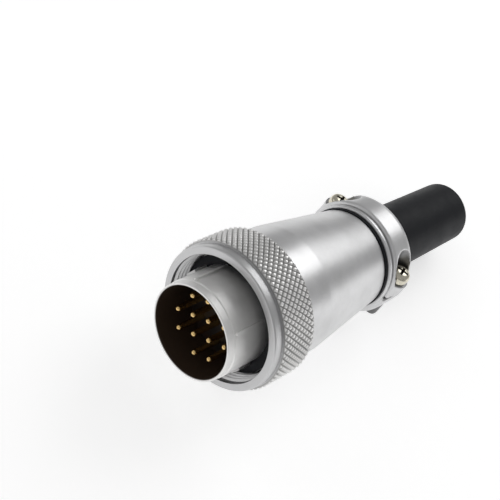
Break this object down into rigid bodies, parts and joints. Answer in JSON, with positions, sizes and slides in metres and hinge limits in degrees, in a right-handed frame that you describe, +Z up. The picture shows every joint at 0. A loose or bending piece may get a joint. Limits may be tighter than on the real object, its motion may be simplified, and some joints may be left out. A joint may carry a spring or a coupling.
{
  "type": "aviation plug connector",
  "caption": "Straight metal cable plug with recessed gold contact pins, a knurled threaded coupling ring, a tapered back shell, a screw cable clamp and a rubber boot.",
  "frame": {"origin": "centre of the barrel's mating face", "axes": "+X along the plug's axis, out of the mating face; +Z up through the heads of the clamp screws, square to the clamp's split; +Y to the plug's left as its mating face is looked at from behind with the screw heads up"},
  "size_m": [0.104, 0.038, 0.038],
  "materials": {
    "nickel_turned": "satin nickel plating, turned",
    "nickel_knurled": "satin nickel plating, diamond knurl",
    "nickel_cast": "satin nickel plating on fine cast grain",
    "washer_steel": "plated washer",
    "screw_nickel": "bright plating with a warm tint",
    "contact_gold": "gold plating, polished",
    "insulator_brown": "dark brown moulded thermoset",
    "seal_rubber": "black rubber",
    "boot_rubber": "satin black rubber"
  },
  "bodies": {
    "plug": {"plug_shell": "nickel_turned", "front_seal": "seal_rubber", "pin_insert": "insulator_brown", "rear_insulator": "insulator_brown", "retaining_ring": "washer_steel", "contact_pin_1": "contact_gold", "contact_pin_2": "contact_gold", "contact_pin_3": "contact_gold", "contact_pin_4": "contact_gold", "contact_pin_5": "contact_gold", "contact_pin_6": "contact_gold", "contact_pin_7": "contact_gold", "contact_pin_8": "contact_gold", "contact_pin_9": "contact_gold", "contact_pin_10": "contact_gold", "contact_pin_11": "contact_gold", "contact_pin_12": "contact_gold", "back_shell": "nickel_cast", "shell_o_ring": "seal_rubber", "gland_washer": "washer_steel", "cable_boot": "boot_rubber", "clamp_gasket": "seal_rubber", "clamp_base": "nickel_cast"},
    "ring_carrier": {"slip_washer": "washer_steel"},
    "ring": {"coupling_ring": "nickel_knurled"},
    "cap": {"clamp_cap": "nickel_cast", "spring_washer_left": "screw_nickel", "spring_washer_right": "screw_nickel"},
    "screw_left": {"clamp_screw_left": "screw_nickel"},
    "screw_right": {"clamp_screw_right": "screw_nickel"}
  },
  "joints": [
    {"name": "ring_float", "type": "slide", "parent": "plug", "child": "ring_carrier", "axis": [1, 0, 0], "range_m": [0, 0.002]},
    {"name": "ring_turn", "type": "hinge", "parent": "ring_carrier", "child": "ring", "pos_m": [-0.0156, 0, 0], "axis": [1, 0, 0], "continuous": true},
    {"name": "cap_lift", "type": "slide", "parent": "plug", "child": "cap", "axis": [0, 0, 1], "range_m": [0, 0.0015]},
    {"name": "screw_left_turn", "type": "hinge", "parent": "cap", "child": "screw_left", "pos_m": [-0.0632, 0.0126, 0.0054], "axis": [0, 0, 1], "range_deg": [0, 1080]},
    {"name": "screw_right_turn", "type": "hinge", "parent": "cap", "child": "screw_right", "pos_m": [-0.0632, -0.0126, 0.0054], "axis": [0, 0, 1], "range_deg": [0, 1080]}
  ],
  "couplings": [
    {"joint": "screw_left_turn", "follows": "cap_lift", "rad_per_m": 12566},
    {"joint": "screw_right_turn", "follows": "cap_lift", "rad_per_m": 12566}
  ]
}
